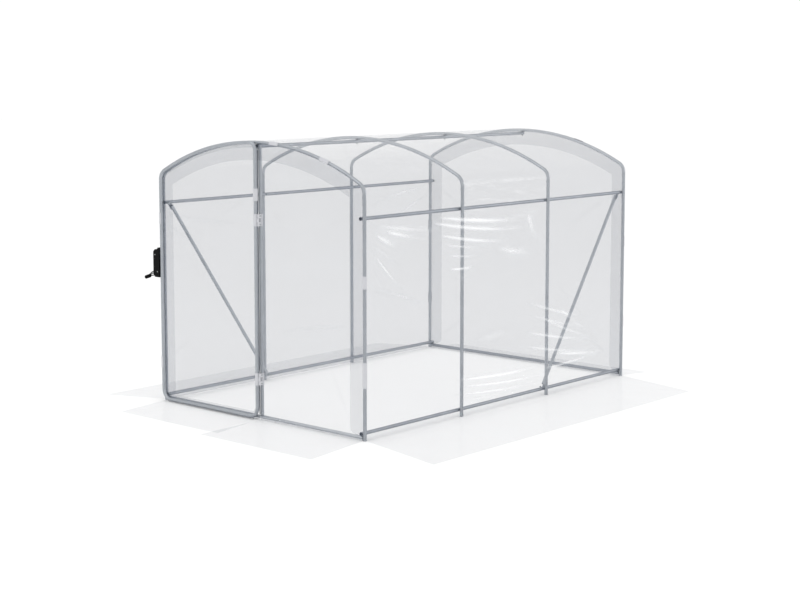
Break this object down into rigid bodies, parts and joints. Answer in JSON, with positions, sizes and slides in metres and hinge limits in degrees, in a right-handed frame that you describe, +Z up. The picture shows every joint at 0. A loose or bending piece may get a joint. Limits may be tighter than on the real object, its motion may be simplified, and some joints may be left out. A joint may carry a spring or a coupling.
{
  "type": "polytunnel greenhouse",
  "caption": "Walk-in polytunnel greenhouse: galvanised tube hoops, rails and braces under a clear film cover with ground flaps, and one hinged door leaf.",
  "frame": {"origin": "middle of the ground that the tunnel and its film flaps cover, at floor level", "axes": "+X to the right seen from the door end, +Y along the tunnel away from the door, +Z up"},
  "size_m": [3.2156, 3.853, 1.9448],
  "materials": {
    "galvanised_tube": "matt zinc",
    "film": "clear soft film",
    "clip": "pale grey moulded",
    "black_plastic": "black moulded",
    "pin": "bright"
  },
  "bodies": {
    "tunnel": {"arch_1": "galvanised_tube", "arch_2": "galvanised_tube", "arch_3": "galvanised_tube", "arch_4": "galvanised_tube", "legs_1": "galvanised_tube", "legs_2": "galvanised_tube", "legs_3": "galvanised_tube", "legs_4": "galvanised_tube", "base_rail_left": "galvanised_tube", "base_rail_right": "galvanised_tube", "side_rail_left": "galvanised_tube", "side_rail_right": "galvanised_tube", "ridge_rail": "galvanised_tube", "ground_bar_front": "galvanised_tube", "ground_bar_back": "galvanised_tube", "brace_left": "galvanised_tube", "brace_right": "galvanised_tube", "centre_post": "galvanised_tube", "wall_film_left": "film", "wall_film_right": "film", "roof_film": "film", "gable_film_front": "film", "gable_film_back": "film", "cover_edge_front": "film", "cover_edge_back": "film", "flap_left_side": "film", "flap_right_side": "film", "flap_front_fixed": "film", "flap_front_door": "film", "flap_back_end": "film", "clips_front_hoop": "clip", "clips_back_hoop": "clip", "hinge_post_clamps": "clip", "hinge_pins": "pin", "latch_keeper": "black_plastic"},
    "door": {"door_frame": "galvanised_tube", "door_film": "film", "clips_door": "clip", "hinge_door_clamps": "clip", "latch_case": "black_plastic", "latch_pull": "black_plastic"}
  },
  "joints": [
    {"name": "door_hinge", "type": "hinge", "parent": "tunnel", "child": "door", "pos_m": [-0.098, -1.3675, 0.845], "axis": [0, 0, 1], "range_deg": [0, 150]}
  ]
}
